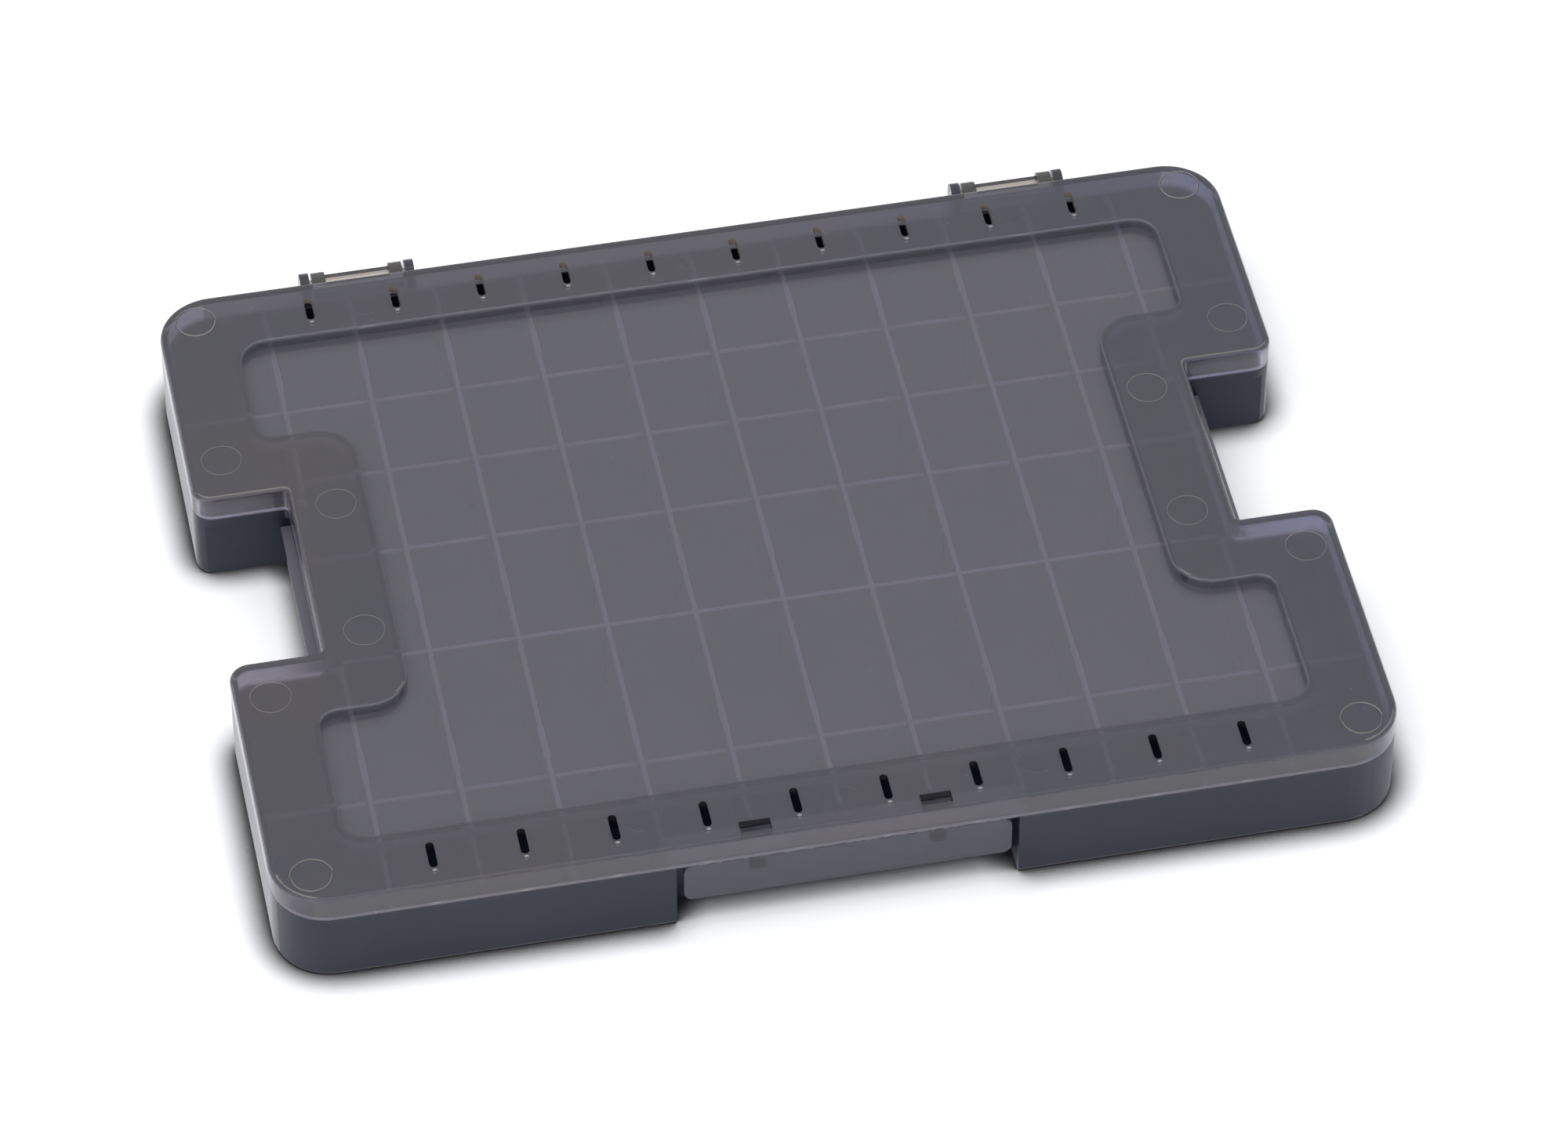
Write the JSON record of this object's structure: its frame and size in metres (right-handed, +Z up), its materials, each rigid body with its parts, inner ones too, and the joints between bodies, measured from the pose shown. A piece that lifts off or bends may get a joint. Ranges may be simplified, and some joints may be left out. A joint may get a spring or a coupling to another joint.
{
  "type": "spoon lure box",
  "caption": "Flat case with small walled compartments, a translucent lid on two rear hinges and a front latch flap.",
  "frame": {"origin": "centre of the underside of the base", "axes": "+X to the right along the long side, +Y to the hinge side, +Z up through the lid"},
  "size_m": [0.2752, 0.2133, 0.027],
  "materials": {
    "slate_plastic": "opaque slate-blue ABS, fine satin",
    "smoke_plastic": "translucent smoke plastic, frosted border and clear panel",
    "pin_steel": "bright drawn wire"
  },
  "bodies": {
    "base": {"base_case": "slate_plastic", "long_wall_01": "slate_plastic", "long_wall_02": "slate_plastic", "long_wall_03": "slate_plastic", "long_wall_04": "slate_plastic", "long_wall_05": "slate_plastic", "long_wall_06": "slate_plastic", "long_wall_07": "slate_plastic", "long_wall_08": "slate_plastic", "long_wall_09": "slate_plastic", "long_wall_10": "slate_plastic", "long_wall_11": "slate_plastic", "cross_walls_row_1": "slate_plastic", "cross_walls_row_2": "slate_plastic", "cross_walls_row_3": "slate_plastic", "cross_walls_row_4": "slate_plastic", "cross_walls_row_5": "slate_plastic", "ramps_row_1": "slate_plastic", "ramps_row_2": "slate_plastic", "ramps_row_3": "slate_plastic", "ramps_row_4": "slate_plastic", "ramps_row_5": "slate_plastic", "ramps_row_6": "slate_plastic", "hinge_pin_left": "pin_steel", "hinge_pin_right": "pin_steel"},
    "lid": {"lid": "smoke_plastic"},
    "latch": {"latch_flap": "smoke_plastic"}
  },
  "joints": [
    {"name": "lid_hinge", "type": "hinge", "parent": "base", "child": "lid", "pos_m": [0, 0.1068, 0.0229], "axis": [-1, 0, 0], "range_deg": [0, 180]},
    {"name": "latch_fold", "type": "hinge", "parent": "lid", "child": "latch", "pos_m": [0, -0.1035, 0.0198], "axis": [-1, 0, 0], "range_deg": [0, 80]}
  ]
}
